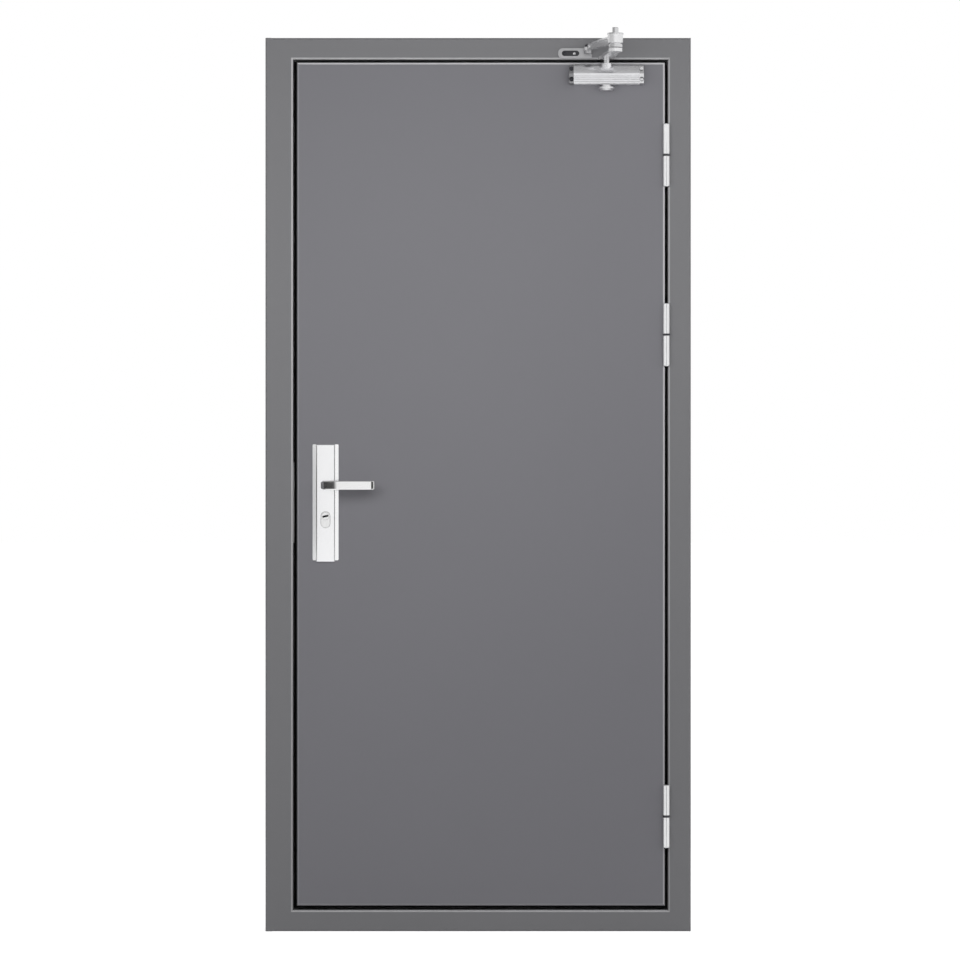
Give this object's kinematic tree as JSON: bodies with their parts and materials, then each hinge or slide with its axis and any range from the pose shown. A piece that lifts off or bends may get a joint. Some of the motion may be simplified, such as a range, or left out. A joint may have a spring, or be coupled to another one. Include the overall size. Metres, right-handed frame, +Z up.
{
  "type": "steel utility door",
  "caption": "Hinged steel utility door in a four-sided folded frame, with a lever handle on a long plate, an oval lock cylinder and an arm door closer.",
  "frame": {"origin": "middle of the threshold's flat underside, halfway through the frame's depth", "axes": "+X to the right as seen from the front, +Y from the front face to the rear, +Z up"},
  "size_m": [1, 0.3355, 2.103],
  "materials": {
    "frame_paint": "semi-matte cool grey powder coat",
    "leaf_paint": "semi-matte cool grey powder coat",
    "seal_rubber": "matte black rubber",
    "satin_steel": "satin stainless steel",
    "zinc_steel": "bright zinc-plated steel",
    "hinge_steel": "satin stainless steel",
    "handle_steel": "fine satin stainless steel",
    "cylinder_nickel": "satin nickel plate",
    "closer_silver": "silver lacquered aluminium, soft gloss",
    "closer_cap_silver": "silver lacquered aluminium, soft gloss",
    "arm_grey": "silver-grey paint",
    "arm_silver": "silver paint",
    "dark_steel": "blackened steel",
    "core_infill": "rigid mineral infill board, hidden"
  },
  "bodies": {
    "frame": {"frame_head": "frame_paint", "frame_lock_jamb": "frame_paint", "frame_hinge_jamb": "frame_paint", "frame_threshold": "frame_paint", "seal_lock": "seal_rubber", "seal_hinge": "seal_rubber", "seal_head": "seal_rubber", "seal_threshold": "seal_rubber", "strike_plate": "satin_steel", "hinge_frame_lower": "hinge_steel", "hinge_frame_middle": "hinge_steel", "hinge_frame_upper": "hinge_steel", "closer_shoe": "arm_silver", "shoe_pivot_bolt": "dark_steel"},
    "leaf": {"leaf_front_skin": "leaf_paint", "leaf_rear_skin": "leaf_paint", "leaf_core": "core_infill", "lock_faceplate": "satin_steel", "latch_bolt": "zinc_steel", "dead_bolt": "zinc_steel", "hinge_leaf_lower": "hinge_steel", "hinge_leaf_middle": "hinge_steel", "hinge_leaf_upper": "hinge_steel", "handle_plate_front": "handle_steel", "handle_plate_rear": "handle_steel", "key_cylinder": "cylinder_nickel", "key_plug_front": "cylinder_nickel", "key_plug_rear": "cylinder_nickel", "closer_body": "closer_silver", "closer_cap_left": "closer_cap_silver", "closer_cap_right": "closer_cap_silver", "closer_lower_cap": "closer_cap_silver"},
    "lever_handle": {"lever_front": "handle_steel", "lever_rear": "handle_steel", "handle_spindle": "zinc_steel"},
    "main_arm": {"closer_spindle": "zinc_steel", "closer_main_arm": "arm_grey"},
    "forearm": {"closer_forearm": "arm_grey", "elbow_joint": "zinc_steel", "elbow_nut": "zinc_steel"}
  },
  "joints": [
    {"name": "leaf_swing", "type": "hinge", "parent": "frame", "child": "leaf", "pos_m": [0.442, -0.058, 1.05], "axis": [0, 0, 1], "range_deg": [0, 110], "stiffness_Nm_per_rad": 9, "springref_deg": -51.57},
    {"name": "lever_turn", "type": "hinge", "parent": "leaf", "child": "lever_handle", "pos_m": [-0.3584, -0.05, 1.0484], "axis": [0, 1, 0], "range_deg": [0, 45], "stiffness_Nm_per_rad": 1.4, "springref_deg": -34.38},
    {"name": "main_arm_turn", "type": "hinge", "parent": "leaf", "child": "main_arm", "pos_m": [0.301, -0.0725, 2.05], "axis": [0, 0, 1], "range_deg": [-186, 0]},
    {"name": "forearm_turn", "type": "hinge", "parent": "frame", "child": "forearm", "pos_m": [0.258, -0.07, 2.07], "axis": [0, 0, 1], "range_deg": [0, 6]}
  ],
  "couplings": [
    {"joint": "main_arm_turn", "follows": "leaf_swing", "ratio": -1.6837},
    {"joint": "forearm_turn", "follows": "leaf_swing", "ratio": 0.05146}
  ]
}
